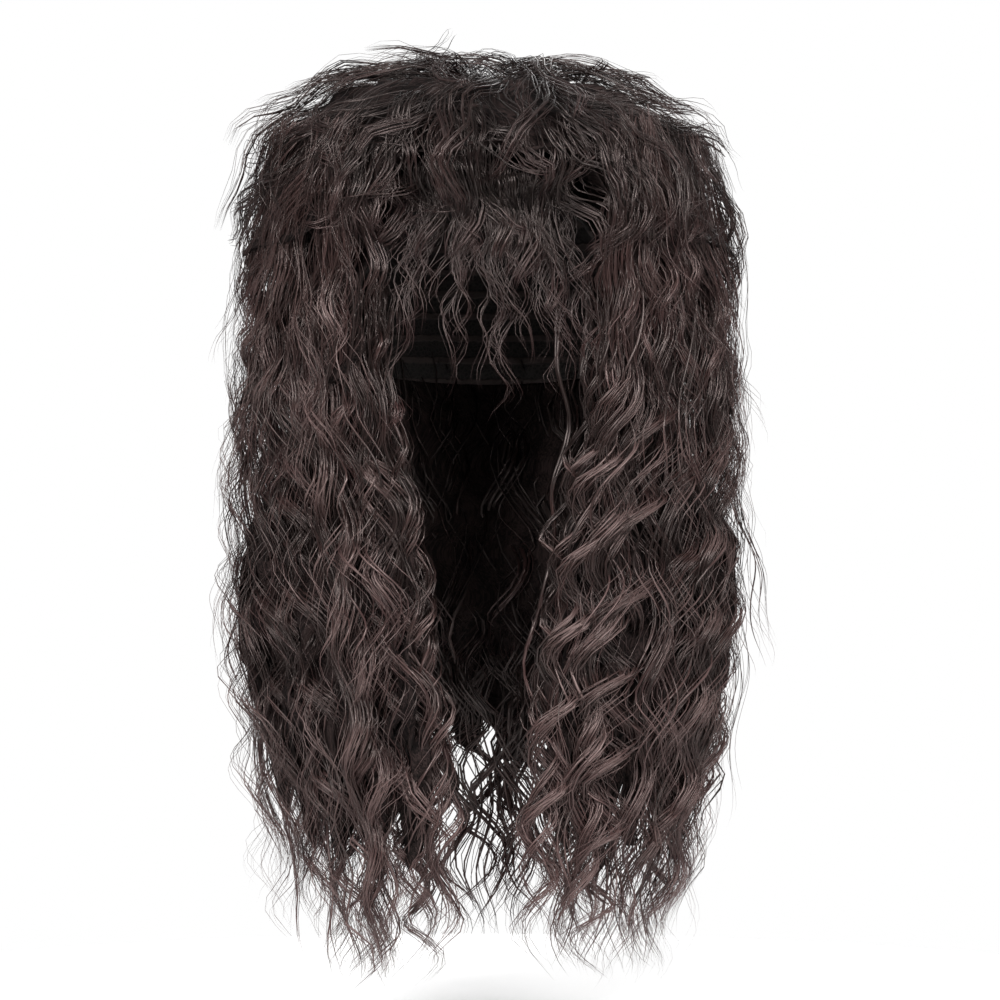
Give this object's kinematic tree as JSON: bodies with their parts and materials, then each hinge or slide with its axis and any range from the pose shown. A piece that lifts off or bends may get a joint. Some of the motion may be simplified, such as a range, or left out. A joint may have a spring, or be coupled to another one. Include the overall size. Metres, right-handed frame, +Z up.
{
  "type": "curly wig",
  "caption": "Long dark brown curly wig with a teased crown, wispy fringe and waved side and back lengths on a stretch cap that is pulled over the head.",
  "frame": {"origin": "inside top of the cap, where it sits on the top of the head", "axes": "+Z up out of the top of the head, the face looks along -Y, the wearer's left is +X"},
  "size_m": [0.2958, 0.2711, 0.5186],
  "materials": {
    "hair": "dark brown synthetic hair fibre with a soft satin sheen",
    "cap_net": "matt knitted stretch cap"
  },
  "bodies": {
    "root": {"wig_cap": "cap_net", "crown_hair": "hair", "fringe": "hair", "left_side_layer": "hair", "right_side_layer": "hair", "left_length": "hair", "right_length": "hair", "back_layer": "hair", "back_length": "hair"}
  },
  "joints": []
}
